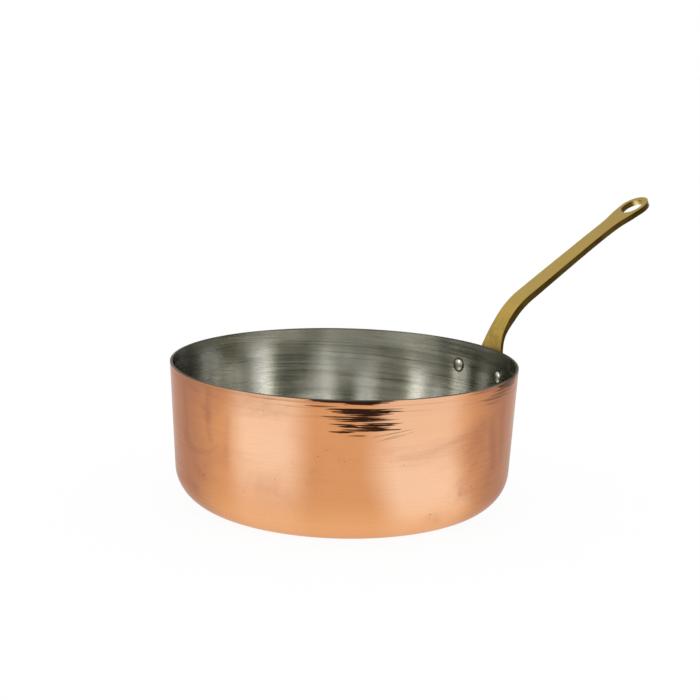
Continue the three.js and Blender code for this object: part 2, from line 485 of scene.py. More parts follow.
@dataclass(frozen=True)
class WallMap:
    """Places on the wall in millimetres: across it from the front, and down it from the rim."""

    across: Num
    down: Num

    front: ClassVar[float] = math.radians(121.74)
    radius: ClassVar[float] = 140.0
    rim: ClassVar[float] = 114.0

    @classmethod
    def read(cls, shade: Shade, turn: float = 0.0) -> "WallMap":
        """Add the nodes that find the place.

        Args:
            shade: The material.
            turn: How far round from the front the middle lies, in radians.

        Returns:
            The place.
        """
        x, y, z = shade.split(shade.mapped(shade.spot, (1, 1, 1), (0, 0, cls.front - turn)))
        return cls(y.math("ARCTAN2", x) * cls.radius, cls.rim - z / MM)

    def beside(self, middle: float) -> Num:
        """Distance to the right of an upright line at an angle in degrees."""
        return self.across - math.radians(middle) * self.radius

    def streak(self, streak: Streak, fibre: Num) -> Num:
        """Where a streak shows.

        Args:
            streak: The streak.
            fibre: The noise that frays it.

        Returns:
            Its strength, from 0 to 1.
        """
        offset = self.beside(streak.middle)
        part = offset * (1.0 / (math.radians(streak.reach) * self.radius))
        height = (1.0 - part * part) * streak.half_height
        depth = abs(self.down - streak.drop - offset * streak.tilt)
        fray = (fibre - 0.5) * (1.2 + 3.2 * streak.half_height)
        return (height - depth + fray).step(-0.45, 0.1) * streak.strength

    def drip(self, drip: Drip, wander: Num) -> Num:
        """Where a drip line shows.

        Args:
            drip: The line.
            wander: The noise that bends it.

        Returns:
            Its strength, from 0 to 1.
        """
        offset = self.beside(drip.middle) + self.down * drip.lean + (wander - 0.5) * 14.0
        side = 1.0 - abs(offset).step(0.2, drip.half_width * 1.5)
        start = self.down.step(drip.top - 6, drip.top + 6)
        end = self.down.step(drip.bottom - 10, drip.bottom)
        return side * (start * (1.0 - end))


# Painted reflections of a dark object: near-black streaks under the rim, at the front and at the right.
DARK_REFLECTION_STREAKS = (
    Streak(2.2, 11.5, 0.7, 1.0), Streak(6.7, 6.5, 1.8, 1.6), Streak(4.7, 10.0, 6.9, 0.8),
    Streak(6.2, 9.5, 8.8, 1.7), Streak(7.2, 7.0, 10.8, 0.9), Streak(2.2, 7.0, 12.4, 0.4),
    Streak(7.2, 9.5, 14.3, 1.3), Streak(3.2, 5.0, 15.3, 0.6), Streak(0.2, 4.0, 18.0, 0.5),
    Streak(11.2, 6.0, 17.6, 0.5), Streak(1.9, 3.2, 19.4, 0.7), Streak(9.2, 5.5, 18.9, 1.4),
    Streak(9.7, 5.0, 20.6, 1.1), Streak(7.7, 8.0, 22.4, 0.7), Streak(0.2, 3.0, 23.8, 0.55),
    Streak(4.7, 2.6, 26.6, 0.45, 0.7), Streak(-6.3, 4.0, 5.0, 0.4, 0.7),
    Streak(14.7, 4.0, 25.5, 0.15, 0.45, -0.16), Streak(13.7, 2.6, 29.0, 0.12, 0.4, -0.3),
    Streak(18.5, 2.6, 27.0, 0.12, 0.4, -0.24), Streak(66.0, 9.0, 1.8, 1.9, 0.9),
    Streak(64.0, 8.0, 4.6, 1.2, 0.75), Streak(60.0, 8.0, 7.4, 0.8, 0.55),
    Streak(57.0, 7.0, 10.0, 0.6, 0.45),
)
# Painted reflections of a dark object: soft dark haze under the rim, mostly at the right.
DARK_REFLECTION_HAZE = (
    Streak(57.0, 15.0, 1.4, 2.0, 2.2), Streak(64.0, 12.0, 4.6, 2.0, 2.2),
    Streak(61.0, 13.0, 8.0, 1.8, 2.0), Streak(67.0, 9.0, 10.8, 1.5, 1.8),
    Streak(58.0, 8.0, 13.0, 1.1, 1.2), Streak(-14.0, 9.0, 2.6, 0.5, 0.35),
    Streak(-15.0, 7.0, 6.4, 0.3, 0.25), Streak(24.0, 10.0, 4.4, 0.3, 0.25),
    Streak(20.0, 6.0, 9.0, 0.2, 0.25), Streak(-11.0, 6.0, 13.5, 0.4, 0.25),
)
DRIPS = (
    Drip(-61.0, 7, 56, 5.0, 0.02), Drip(-47.0, 4, 52, 4.0, -0.05), Drip(-38.0, 20, 70, 3.5, 0.04),
    Drip(52.0, 26, 74, 5.5, -0.22), Drip(61.0, 14, 70, 5.0, -0.12), Drip(138.0, 10, 60, 5.0, 0.03),
    Drip(-118.0, 6, 44, 4.5, -0.04), Drip(-150.0, 12, 76, 4.0, 0.06),
)


@dataclass(frozen=True)
class CopperFinish:
    """Polished copper: fine brushing round the pan, tarnished clouds, drip lines and specks, with painted
    reflections (bright bands, dark streaks under the rim, a warmer bottom) and painted shade at its sides and
    bottom edge.
    """

    # Paler copper of the painted reflection bands.
    band_reflection: Colour = (0.95, 0.57, 0.36)
    bright: Colour = (0.72, 0.315, 0.13)
    # Warmer copper of the painted floor reflection low on the wall.
    floor_reflection_orange: Colour = (0.92, 0.46, 0.20)
    # Colour of tarnished copper, also used for the painted shade at the sides and bottom edge and for the
    # painted dark haze.
    tarnish_and_shade: Colour = (0.39, 0.165, 0.092)
    edge_tint: Colour = (0.85, 0.72, 0.66)
    # Near-black of the painted dark reflections and of the small specks.
    dark_reflection_and_specks: Colour = (0.035, 0.014, 0.007)
    roughness: float = 0.26
    streaking: float = 0.7
    brushing_depth: float = 0.0015 * MM
    # Depths below the rim, in millimetres, of the painted shade along the bottom edge.
    bottom_edge_shade: tuple[float, float] = (111.6, 113.6)

    def make(self) -> bpy.types.Material:
        """Build the material.

        Returns:
            The finish, ready for a piece.
        """
        shade = Shade("polished_copper")
        wall = WallMap.read(shade)
        x, y, z = shade.split(shade.spot)
        reach = shade.length(shade.join(x, y, 0.0)) + z
        brushing = shade.noise(shade.join(x * 6.0, y * 6.0, reach * 900.0), 1.0, 3.0)
        fibre = shade.noise(shade.join(x * 40.0, y * 40.0, reach * 1400.0), 1.0, 3.0, 0.6)
        clouds = shade.noise(shade.mapped(shade.spot, (1, 1, 1.6)), 13.0, 5.0, 0.55, 0.6)
        wander = shade.noise(shade.spot, 22.0, 2.0)
        # Painted reflection: the lights' bright bands, painted as paler copper.
        base = shade.blend(self.reflection_bands(wall, clouds), self.bright, self.band_reflection)
        # Painted reflection of the floor: brighter and warmer towards the bottom.
        base = shade.blend(wall.down.step(72, 108) * 0.65, base, self.floor_reflection_orange)
        base = shade.blend(self.tarnish_and_shade_share(wall, clouds, wander, brushing), base, self.tarnish_and_shade)
        specks = shade.noise(shade.spot, 420.0, 1.0).step(0.755, 0.775) * clouds.step(0.46, 0.6)
        # The dark streaks are painted reflections of a dark object; the specks are real marks.
        dark_reflection_and_specks = self.dark_reflection_share(wall, fibre).math("MAXIMUM", specks * 0.6)
        base = shade.blend(dark_reflection_and_specks, base, self.dark_reflection_and_specks)
        roughness = self.roughness + (brushing - 0.5) * 0.10 + clouds.step(0.4, 0.7) * 0.06 + dark_reflection_and_specks * 0.12
        return shade.close(base, roughness, brushing, self.brushing_depth,
                           {"Anisotropic": self.streaking, "Anisotropic Rotation": 0.25,
                            "Specular Tint": self.edge_tint})

    def reflection_bands(self, wall: WallMap, clouds: Num) -> Num:
        """Painted reflection of the lights: two broad bright bands either side of the front and one behind.

        Args:
            wall: The places on the wall.
            clouds: The noise that makes it uneven.

        Returns:
            The bands' strength, 0 where the metal is only bright.
        """
        left = (1.0 - abs(wall.beside(-24.5)).step(14, 41)) * (1.0 - wall.down.step(45, 92) * 0.6)
        slant = wall.down.step(50, 95) * 12.0
        right = (1.0 - abs(wall.beside(25.5) - slant).step(18, 52)) * (1.0 - wall.down.step(84, 104) * 0.4)
        back = (1.0 - abs(abs(wall.across) - 330.0).step(20, 120)) * 0.6
        return (left + right * (0.72 + wall.down.step(20, 50) * 0.28) + back) * (1.25 - clouds * 0.55)

    def tarnish_and_shade_share(self, wall: WallMap, clouds: Num, wander: Num, brushing: Num) -> Num:
        """How tarnished the copper is, with painted shade added at its sides and bottom edge, painted dark
        reflections under the rim, and darker towards the rim.

        Args:
            wall: The places on the wall.
            clouds: The noise of the clouds.
            wander: The noise that bends the drip lines.
            brushing: The noise of the brushing.

        Returns:
            The share, from 0 to 1.
        """
        # Painted shade: darker towards the left and right sides.
        sides = abs(abs(wall.across) - 205.0)
        share = (1.0 - sides.step(50, 122)) * 0.82 + clouds.step(0.5, 0.75) * 0.4 + (brushing - 0.5) * 0.35
        share = share + (1.0 - wall.down.step(0, 22)) * 0.15 + self.crescent(wall, wander) * 0.16
        # Painted shade along the bottom edge.
        share = share + wall.down.step(*self.bottom_edge_shade) * 0.8
        for drip in DRIPS:
            share = share + wall.drip(drip, wander) * 0.2
        # Painted reflections of a dark object, as dark haze under the rim.
        for streak in DARK_REFLECTION_HAZE:
            share = share + wall.streak(streak, brushing) * 0.8
        return share.step(-0.1, 1.1)

    def crescent(self, wall: WallMap, wander: Num) -> Num:
        """A faint arc that joins two drip lines low on the left.

        Args:
            wall: The places on the wall.
            wander: The noise that bends it.

        Returns:
            Its strength, from 0 to 1.
        """
        offset = wall.beside(-52.0) * (1.0 / 22.0)
        arc_line = abs(wall.down - 56.0 + offset * offset * 8.0 + (wander - 0.5) * 16.0)
        return (1.0 - arc_line.step(0.5, 4.0)) * (1.0 - abs(offset).step(0.8, 1.3))

    def dark_reflection_share(self, wall: WallMap, fibre: Num) -> Num:
        """How strongly the painted reflection of a dark object shows, as dark streaks under the rim.

        Args:
            wall: The places on the wall.
            fibre: The noise that frays the streaks.

        Returns:
            The share, from 0 to 1.
        """
        share = wall.streak(DARK_REFLECTION_STREAKS[0], fibre)
        for streak in DARK_REFLECTION_STREAKS[1:]:
            share = share.math("MAXIMUM", wall.streak(streak, fibre))
        return share


@dataclass(frozen=True)
class Band:
    """A soft upright band on the lining; its ends are shares of the depth seen from the front."""

    middle: float
    half_width: float
    strength: float
    top: float = -0.5
    bottom: float = 9.0


# Painted reflections of the lights: bright upright bands on the lining.
PAINTED_LIGHT_BANDS = (
    Band(-57.0, 12.0, 1.1, 0.3), Band(-45.0, 10.0, 0.5, 0.6), Band(-32.5, 10.0, 0.7, 0.3),
    Band(-31.5, 8.0, 0.2, 0.8), Band(-14.0, 8.0, 0.5, 0.95), Band(-8.0, 9.5, 0.75, 0.3),
    Band(0.7, 8.0, 0.45, 0.3, 0.6), Band(8.5, 8.0, 0.5, 0.6), Band(8.5, 9.0, 0.3, 0.2),
    Band(-8.5, 7.0, 0.6, 1.0), Band(8.5, 7.0, 0.7, 1.0), Band(19.0, 8.0, 0.2, -0.5, 0.3),
    Band(29.5, 7.5, 0.8, 0.65), Band(38.0, 8.0, 0.5, 0.9), Band(48.0, 8.0, 1.5, 0.5),
    Band(60.0, 8.0, 0.7, 0.7), Band(98.0, 18.0, 0.7), Band(-82.0, 16.0, 0.6), Band(-110.0, 14.0, 0.7),
    Band(128.0, 24.0, 0.8), Band(-140.0, 20.0, 0.8), Band(165.0, 18.0, 0.7),
)
# Painted shade: dark upright bands on the lining between the painted reflections.
PAINTED_SHADE_BANDS = (
    Band(-22.0, 11.0, 0.7, 0.25), Band(-14.0, 8.0, 0.3, -0.5, 0.5), Band(1.5, 5.0, 0.6, 0.9),
    Band(22.0, 6.0, 0.3, 0.4), Band(37.5, 8.0, 0.3, -0.5, 0.5), Band(54.0, 6.0, 0.4, 0.3),
    Band(-48.0, 8.0, 0.35, -0.5, 0.45), Band(-92.0, 20.0, 0.5), Band(90.0, 22.0, 0.5),
    Band(-125.0, 12.0, 0.6), Band(150.0, 10.0, 0.6),
)


@dataclass(frozen=True)
class TinFinish:
    """Tin finished by hand wiping: satin, warm grey, with wipe marks round the wall and dark rings at the
    rivets. Its bright upright bands and bright floor are painted light, its dark bands painted shade and the
    top of its lip a painted shadow.
    """

    # Colour of the painted light: the bright bands and the floor.
    bright: Colour = (0.98, 0.97, 0.90)
    satin: Colour = (0.39, 0.385, 0.315)
    dull: Colour = (0.16, 0.155, 0.12)
    # Colour of the painted shade, in the dark bands and at the lip.
    painted_shade: Colour = (0.07, 0.07, 0.058)
    edge_tint: Colour = (0.6, 0.6, 0.54)
    ring: Colour = (0.12, 0.11, 0.09)
    depth_seen: float = 60.0
    fade: float = 0.22
    roughness: float = 0.25
    streaking: float = 1.0
    wipe_depth: float = 0.07 * MM

    def make(self) -> bpy.types.Material:
        """Build the material.

        Returns:
            The finish, ready for a piece.
        """
        shade = Shade("wiped_tin")
        x, y, z = shade.split(shade.spot)
        reach = shade.length(shade.join(x, y, 0.0)) + z + x * 0.05
        wipes = shade.noise(shade.join(x * 9.0, y * 9.0, reach * 420.0), 1.0, 4.0, 0.62, 0.5)
        broad = shade.noise(shade.join(x * 9.0, y * 9.0, reach * 90.0), 1.0, 1.0, 0.5, 0.6)
        wall = WallMap.read(shade, math.pi)
        streaks = (wipes * 0.6 + broad * 0.4).step(0.38, 0.66)
        base = shade.blend(streaks, self.satin, self.dull)
        # Painted light: the lining's floor and corner are bright, so the wall's reflections of them brighten
        # towards the bottom.
        bottom = wall.down.step(84, 100) * 0.6
        # Painted reflections of the lights as bright bands, shaped by the wipe streaks.
        painted_light = (self.bands(wall, PAINTED_LIGHT_BANDS) + bottom).math("MINIMUM", 1.0) * (1.15 - streaks * 0.45)
        base = shade.blend(painted_light, base, self.bright)
        # Painted shade: dark bands on the lining.
        base = shade.blend(self.bands(wall, PAINTED_SHADE_BANDS) * (0.6 + streaks * 0.4), base, self.painted_shade)
        for rivet in RIVETS:
            base = shade.blend(self.rivet_ring(shade, rivet), base, self.ring)
        # Painted shadow: the top millimetre of the lining, along the rim, is darkened.
        lip = wall.down.step(0.2, 1.2)
        base = shade.blend(0.9 - lip * 0.9, base, self.painted_shade)
        roughness = self.roughness + (wipes - 0.5) * 0.24
        return shade.close(base, roughness, broad, self.wipe_depth,
                           {"Anisotropic": self.streaking, "Anisotropic Rotation": 0.25,
                            "Specular Tint": self.edge_tint})

    def bands(self, wall: WallMap, bands: Sequence[Band]) -> Num:
        """How much some bands show.

        Args:
            wall: The places on the wall, measured from the far side.
            bands: The bands.

        Returns:
            Their summed strengths.
        """
        seen = (wall.across / wall.radius).math("COSINE").math("MAXIMUM", 0.2) * self.depth_seen
        depth = wall.down / seen
        share = 0.0
        for band in bands:
            side = abs(wall.beside(-band.middle)).step(0.0, band.half_width * 2.0)
            start = depth.step(band.top - self.fade, band.top + self.fade)
            end = depth.step(band.bottom - self.fade, band.bottom + self.fade)
            share = share + (1.0 - side) * start * (1.0 - end) * band.strength
        return share * (1.0 - wall.down.step(80, 100))

    def rivet_ring(self, shade: Shade, rivet: "Rivet") -> Num:
        """The dark line where a rivet's head meets the lining.

        Args:
            shade: The material.
            rivet: The rivet.

        Returns:
            The line's strength, from 0 to 1.
        """
        shape = PanShape.from_frame()
        centre = shape.at(rivet.angle, rivet.drop) @ Vector((0, 0, -rivet.wall))
        gap = shade.length(shade.mapped(shade.spot, (1, 1, 1), (0, 0, 0), -centre)) / MM
        edge = rivet.head_radius / MM
        return 1.0 - abs(gap - edge - 0.3).step(0.6, 1.6)


@dataclass(frozen=True)
class RivetFinish:
    """Rivets: tinned over inside the pan, bare copper outside it."""

    tin: Colour = (0.52, 0.51, 0.44)
    copper: Colour = (0.60, 0.27, 0.13)
    grime: Colour = (0.16, 0.13, 0.09)
    seam: float = 139.5 * MM
    roughness: float = 0.24
    dent_depth: float = 0.12 * MM

    def make(self) -> bpy.types.Material:
        """Build the material.

        Returns:
            The finish, ready for a piece.
        """
        shade = Shade("rivet_metal")
        x, y, _ = shade.split(shade.spot)
        outside = shade.length(shade.join(x, y, 0.0)).step(self.seam, self.seam + 0.5 * MM)
        dents = shade.noise(shade.spot, 380.0, 3.0)
        clouds = shade.noise(shade.spot, 160.0, 3.0)
        base = shade.blend(outside, self.tin, self.copper)
        base = shade.blend(clouds.step(0.45, 0.8) * 0.5, base, self.grime)
        return shade.close(base, self.roughness + clouds * 0.12, dents, self.dent_depth, {})


@dataclass(frozen=True)
class BrassFinish:
    """Satin cast brass: filed gold on its faces, darker in patches at its neck, its sides darkened as painted
    shade over a darker casting skin, and a painted highlight on its rounded edges.
    """

    face: Colour = (0.43, 0.295, 0.062)
    worn: Colour = (0.50, 0.34, 0.075)
    # Near-black of the side faces: painted shade over a darker casting skin.
    side: Colour = (0.028, 0.013, 0.0015)
    neck_darkening: Colour = (0.30, 0.19, 0.04)
    # Colour of the painted highlight on the rounded edges.
    edge: Colour = (0.90, 0.75, 0.36)
    roughness: float = 0.40
    grain_depth: float = 0.012 * MM
    neck_end: tuple[float, float] = (147, 166)

    def make(self) -> bpy.types.Material:
        """Build the material.

        Returns:
            The finish, ready for a piece.
        """
        shade = Shade("cast_brass")
        x = shade.split(shade.spot)[0]
        lean = abs(shade.split(shade.facing)[1])
        grain = shade.noise(shade.spot, 900.0, 3.0)
        filing = shade.noise(shade.mapped(shade.spot, (60, 900, 60)), 1.0, 3.0)
        clouds = shade.noise(shade.spot, 60.0, 4.0)
        base = shade.blend(clouds.step(0.4, 0.8) * 0.6 + (filing - 0.5) * 0.5, self.face, self.worn)
        neck = 1.0 - (x / MM).step(*self.neck_end)
        # Darker in patches near the neck.
        neck_dark_patches = neck * shade.noise(shade.spot, 120.0, 3.0, 0.5, 1.0).step(0.38, 0.6)
        base = shade.blend(neck_dark_patches * 0.7, base, self.neck_darkening)
        # Painted highlight: the rounded edges, found by their facing, are painted bright.
        edge_highlight = lean.step(0.25, 0.5) * (1.0 - lean.step(0.62, 0.85))
        base = shade.blend(edge_highlight * 0.85, base, self.edge)
        # Side faces darkened by their facing: painted shade over a darker casting skin.
        base = shade.blend(lean.step(0.7, 0.92) * (0.75 + clouds * 0.3), base, self.side)
        roughness = self.roughness + (clouds - 0.5) * 0.2 - edge_highlight * 0.08
        return shade.close(base, roughness, grain * 0.5 + filing, self.grain_depth, {})


@dataclass(frozen=True)
class Pan:
    """The raised copper body and its tin lining."""

    shape: PanShape
    spin_steps: int = 288
    lip_round: float = 0.3 * MM
    flat_within: float = 0.01 * MM
    round_within: float = 0.1 * MM

    def build_body(self) -> bpy.types.Object:
        """Build the copper body, a shell open at the top.

        Returns:
            The piece.
        """
        shape = self.shape
        top = shape.height - shape.tin_thickness
        inner = shape.skin(shape.copper_thickness, top)
        bm = spin_outline(shape.skin(0.0, top) + inner[::-1], self.spin_steps, closed=False)
        return new_piece("copper_pan_body", bm)

    def build_lining(self) -> bpy.types.Object:
        """Build the tin lining, which runs over the rim.

        Returns:
            The piece.
        """
        shape = self.shape
        back = shape.copper_thickness
        lip = shape.height - shape.tin_thickness
        outer = Vector((shape.wall_radius(lip), 0, lip))
        corner = Vector((shape.rim_radius, 0, shape.height))
        inner = shape.skin(back + shape.tin_thickness, shape.height)
        outline = shape.skin(back, lip) + [outer, corner] + inner[::-1]
        bm = spin_outline(outline, self.spin_steps, closed=False)
        rim = [e for e in bm.edges if all(abs(v.co.z - shape.height) < self.flat_within for v in e.verts)]
        reaches = {v: v.co.to_2d().length for e in rim for v in e.verts}
        lines = [e for e in rim if abs(reaches[e.verts[0]] - reaches[e.verts[1]]) < self.round_within]
        bmesh.ops.bevel(bm, geom=lines, offset=self.lip_round, offset_type="OFFSET", segments=3,
                        profile=0.5, affect="EDGES", material=-1)
        return new_piece("wiped_tin_lining", bm)


# The handle


BAR_HALF_WIDTHS = (
    (-14, 17.0), (0, 12.7), (12, 10.2), (25, 9.1), (60, 9.3), (100, 9.0), (140, 8.6), (165, 9.1), (180, 11.8),
    (191, 13.1),
)


class Join(Enum):
    """How two solids are combined."""

    CUT = "DIFFERENCE"
    WELD = "UNION"


@dataclass(frozen=True)
class HandleShape:
    """Sizes of the cast handle. Distances along it start at the rim's level."""

    pan: PanShape
    start_radius: float = 147.4 * MM
    start_slope: float = math.radians(75.1)
    grip_slope: float = math.radians(31.8)
    bend_radius: float = 73.4 * MM
    ease_start: float = 130 * MM
    ease_radius: float = 1000 * MM
    length: float = 207.8 * MM
    neck_thickness: float = 5.9 * MM
    grip_thickness: float = 4.9 * MM
    taper_start: float = 20 * MM
    taper_end: float = 120 * MM
    eye_centre: float = 192 * MM
    eye_half_width: float = 13.1 * MM
    hole_half_length: float = 10.9 * MM
    hole_half_width: float = 9.2 * MM
    root: float = -14 * MM

    def half_width(self, distance: float) -> float:
        """Half the bar's width at a distance along it, from the table in millimetres.

        Args:
            distance: Distance along the bar.

        Returns:
            The half width.
        """
        if distance > self.eye_centre:
            share = (distance - self.eye_centre) / (self.length - self.eye_centre)
            return self.eye_half_width * math.sqrt(max(0.0, 1 - share * share))
        return through(BAR_HALF_WIDTHS, distance / MM) * MM

    def thickness(self, distance: float) -> float:
        """The bar's thickness at a distance along it."""
        share = ease(distance, self.taper_start, self.taper_end)
        return self.neck_thickness + (self.grip_thickness - self.neck_thickness) * share

    def face(self, distance: float) -> tuple[Vector, float]:
        """Centre of the bar's upper face and its slope, at a distance along the bar.

        Args:
            distance: Distance along the bar.

        Returns:
            The centre and the slope in radians.
        """
        bend_end = self.bend_radius * (self.start_slope - self.grip_slope)
        slope = self.start_slope - min(distance, bend_end) / self.bend_radius
        x = self.start_radius + self.bend_radius * (math.sin(self.start_slope) - math.sin(slope))
        z = self.pan.height + self.bend_radius * (math.cos(slope) - math.cos(self.start_slope))
        straight = max(0.0, min(distance, self.ease_start) - bend_end)
        x += straight * math.cos(slope)
        z += straight * math.sin(slope)
        eased = slope - max(0.0, distance - self.ease_start) / self.ease_radius
        x += self.ease_radius * (math.sin(slope) - math.sin(eased))
        z += self.ease_radius * (math.cos(eased) - math.cos(slope))
        return Vector((x, 0, z)), eased

    def bend(self, distance: float, across: float, depth: float) -> Vector:
        """Where a point of the straight blank goes on the bent bar.

        Args:
            distance: Distance along the bar.
            across: Offset from the middle of its width.
            depth: Depth below its upper face.

        Returns:
            The point.
        """
        spot, slope = self.face(distance)
        return spot + Vector((depth * math.sin(slope), across, -depth * math.cos(slope)))


@dataclass(frozen=True)
class Handle:
    """The cast brass handle: foot, neck, bar and eye in one piece."""

    shape: HandleShape
    rivets: tuple["Rivet", ...]
    stations: int = 150
    columns: int = 10
    least_half_width: float = 0.05 * MM
    back_rounding: float = 0.5
    flat_share: float = 0.45
    voxel: float = 0.7 * MM
    smoothing: int = 9
    edge_round: float = 0.55 * MM
    edge_angle: float = math.radians(50)
    foot_thickness: float = 4.0 * MM
    foot_gap: float = 0.15 * MM
    foot_sink: float = 4.0 * MM
    lobe_radius: float = 11 * MM
    hub_radius: float = 11.5 * MM
    hub_thickness: float = 8.0 * MM
    hub_drop: float = 30 * MM
    boss_size: Sizes = (9.5 * MM, 12.5 * MM, 15.5 * MM)
    boss_place: Sizes = (142.5 * MM, 0.0, 87 * MM)
    throat_radius: float = 9.5 * MM
    throat_thickness: float = 7 * MM
    throat_drop: float = 24 * MM
    throat_sections: tuple[tuple[float, float], ...] = ((-14 * MM, -0.5 * MM), (-9 * MM, -1.5 * MM))

    def build_bar(self) -> bmesh.types.BMesh:
        """Build the bent bar without its eye.

        Returns:
            Its mesh.
        """
        shape = self.shape
        bm = bmesh.new()
        bmesh.ops.create_grid(bm, x_segments=self.stations, y_segments=self.columns, size=1.0)
        back = bmesh.ops.extrude_face_region(bm, geom=bm.faces[:])["geom"]
        for vert in (v for v in back if isinstance(v, bmesh.types.BMVert)):
            vert.co.z = -1.0
        span = shape.length - shape.root
        for vert in bm.verts:
            share = math.sin((vert.co.x + 1) / 2 * math.pi / 2)
            distance = shape.root + span * share
            half = max(shape.half_width(distance), self.least_half_width)
            thin = 1 - ease(distance, 5 * MM, 30 * MM)
            edge = max(0.0, abs(vert.co.y) - self.flat_share) / (1 - self.flat_share)
            depth = -vert.co.z * shape.thickness(distance) * (1 - self.back_rounding * thin * edge)
            vert.co = shape.bend(distance, vert.co.y * half, depth)
        bmesh.ops.remove_doubles(bm, verts=bm.verts[:], dist=0.01 * MM)
        bmesh.ops.recalc_face_normals(bm, faces=bm.faces[:])
        return bm

    def build_eye(self) -> bmesh.types.BMesh:
        """Build the cutter for the hanging eye, square to the bar's face.

        Returns:
            Its mesh.
        """
        shape = self.shape
        bm = bmesh.new()
        bmesh.ops.create_cone(bm, cap_ends=True, segments=96, radius1=1.0, radius2=1.0, depth=30 * MM)
        spot, slope = shape.face(shape.eye_centre)
        squeeze = Matrix.Diagonal((shape.hole_half_length, shape.hole_half_width, 1.0, 1.0))
        place = Matrix.Translation(spot) @ Matrix.Rotation(-slope, 4, "Y") @ squeeze
        bmesh.ops.transform(bm, matrix=place, verts=bm.verts[:])
        return bm

    def add_disc(self, bm: bmesh.types.BMesh, angle: float, drop: float, radius: float,
                 thickness: float) -> list[bmesh.types.BMVert]:
        """Add a flat disc that stands on the wall and sinks a little into it.

        Args:
            bm: The mesh that it is added to.
            angle: Its angle about Z.
            drop: Its distance below the rim.
            radius: Its radius.
            thickness: How far it stands out.

        Returns:
            Its vertices.
        """
        depth = thickness + self.foot_sink
        place = self.shape.pan.at(angle, drop) @ Matrix.Translation((0, 0, depth / 2 - self.foot_sink))
        return bmesh.ops.create_cone(bm, cap_ends=True, segments=48, radius1=radius, radius2=radius * 0.93,
                                     depth=depth, matrix=place)["verts"]

    def build_foot(self) -> bmesh.types.BMesh:
        """Build the foot's rough shape: an arm to each rivet, a boss and the throat under the bar.

        Returns:
            Its mesh, of parts that overlap.
        """
        shape = self.shape
        bm = bmesh.new()
        for rivet in self.rivets:
            lobe = self.add_disc(bm, rivet.angle, rivet.drop, self.lobe_radius, self.foot_thickness)
            hub = self.add_disc(bm, 0.0, self.hub_drop, self.hub_radius, self.hub_thickness)
            bmesh.ops.convex_hull(bm, input=lobe + hub)
        boss = Matrix.Translation(self.boss_place) @ Matrix.Diagonal((*self.boss_size, 1.0))
        bmesh.ops.create_icosphere(bm, subdivisions=4, radius=1.0, matrix=boss)
        throat = self.add_disc(bm, 0.0, self.throat_drop, self.throat_radius, self.throat_thickness)
        for distance, grow in self.throat_sections:
            half = shape.half_width(distance) + grow
            depth = shape.thickness(distance)
            for across, below in ((-half, 0.0), (half, 0.0), (-half * 0.8, depth), (half * 0.8, depth)):
                throat.append(bm.verts.new(shape.bend(distance, across, below)))
        bmesh.ops.convex_hull(bm, input=throat)
        return bm

    def build_wall(self) -> bmesh.types.BMesh:
        """Build the pan's solid outline, which trims the foot to the wall.

        Returns:
            Its mesh.
        """
        pan = self.shape.pan
        outline = pan.skin(-self.foot_gap, pan.height) + [Vector((0, 0, pan.height))]
        return spin_outline(outline, 288, closed=False)

    def combine(self, piece: bpy.types.Object, other: bmesh.types.BMesh | bpy.types.Object,
                join: Join) -> None:
        """Cut or join a piece with another and remove the other.

        Args:
            piece: The piece that is kept.
            other: The other shape.
            join: Whether the other is cut away or welded on.
        """
        tool = other if isinstance(other, bpy.types.Object) else new_piece("tool", other)
        change = piece.modifiers.new("combine", "BOOLEAN")
        change.operation = join.value
        change.object = tool
        change.solver = "EXACT"
        settle(piece)
        bpy.data.objects.remove(tool)

    def build(self) -> bpy.types.Object:
        """Build the whole casting.

        Returns:
            The piece.
        """
        foot = new_piece("handle_foot", self.build_foot())
        merge = foot.modifiers.new("merge", "REMESH")
        merge.mode = "VOXEL"
        merge.voxel_size = self.voxel
        soften = foot.modifiers.new("soften", "SMOOTH")
        soften.factor = 0.5
        soften.iterations = self.smoothing
        settle(foot)
        self.combine(foot, self.build_wall(), Join.CUT)
        bar = new_piece("cast_brass_handle", self.build_bar())
        self.combine(bar, self.build_eye(), Join.CUT)
        ease_edges = bar.modifiers.new("edges", "BEVEL")
        ease_edges.width = self.edge_round
        ease_edges.segments = 3
        ease_edges.limit_method = "ANGLE"
        ease_edges.angle_limit = self.edge_angle
        settle(bar)
        self.combine(bar, foot, Join.WELD)
        return bar


# Rivets


@dataclass(frozen=True)
class Rivet:
    """A domed rivet through the wall and the handle's foot."""

    name: str
    node: str
    angle: float
    drop: float
    head_radius: float = 5.0 * MM
    head_height: float = 2.3 * MM
    shank_radius: float = 3.0 * MM
    grip: float = 4.1 * MM
    wall: float = 2.05 * MM
    turn_steps: int = 48
    dome_steps: int = 14
    dome_power: float = 0.9

    def build(self, pan: PanShape) -> bpy.types.Object:
        """Spin the rivet's outline and set it square to the wall.

        Args:
            pan: The pan that it is set in.

        Returns:
            The rivet.
        """
        outer = self.head(self.grip, 1)
        inner = self.head(-self.wall, -1)
        shank = [Vector((self.shank_radius, 0, -self.wall)), Vector((self.shank_radius, 0, self.grip))]
        bm = spin_outline(inner + shank + outer[::-1], self.turn_steps, closed=False)
        bmesh.ops.transform(bm, matrix=pan.at(self.angle, self.drop), verts=bm.verts[:])
        return new_piece(self.name, bm)

    def head(self, seat: float, side: int) -> list[Vector]:
        """Outline of a domed head, from the axis to its edge.

        Args:
            seat: Where its flat underside is.
            side: 1 for the head outside the pan, -1 for the one inside.

        Returns:
            The points.
        """
        points = []
        for step in range(self.dome_steps + 1):
            angle = math.pi / 2 * (1 - step / self.dome_steps)
            radius = self.head_radius * math.cos(angle) ** self.dome_power
            rise = self.head_height * math.sin(angle) ** self.dome_power
            points.append(Vector((radius, 0, seat + side * rise)))
        return points


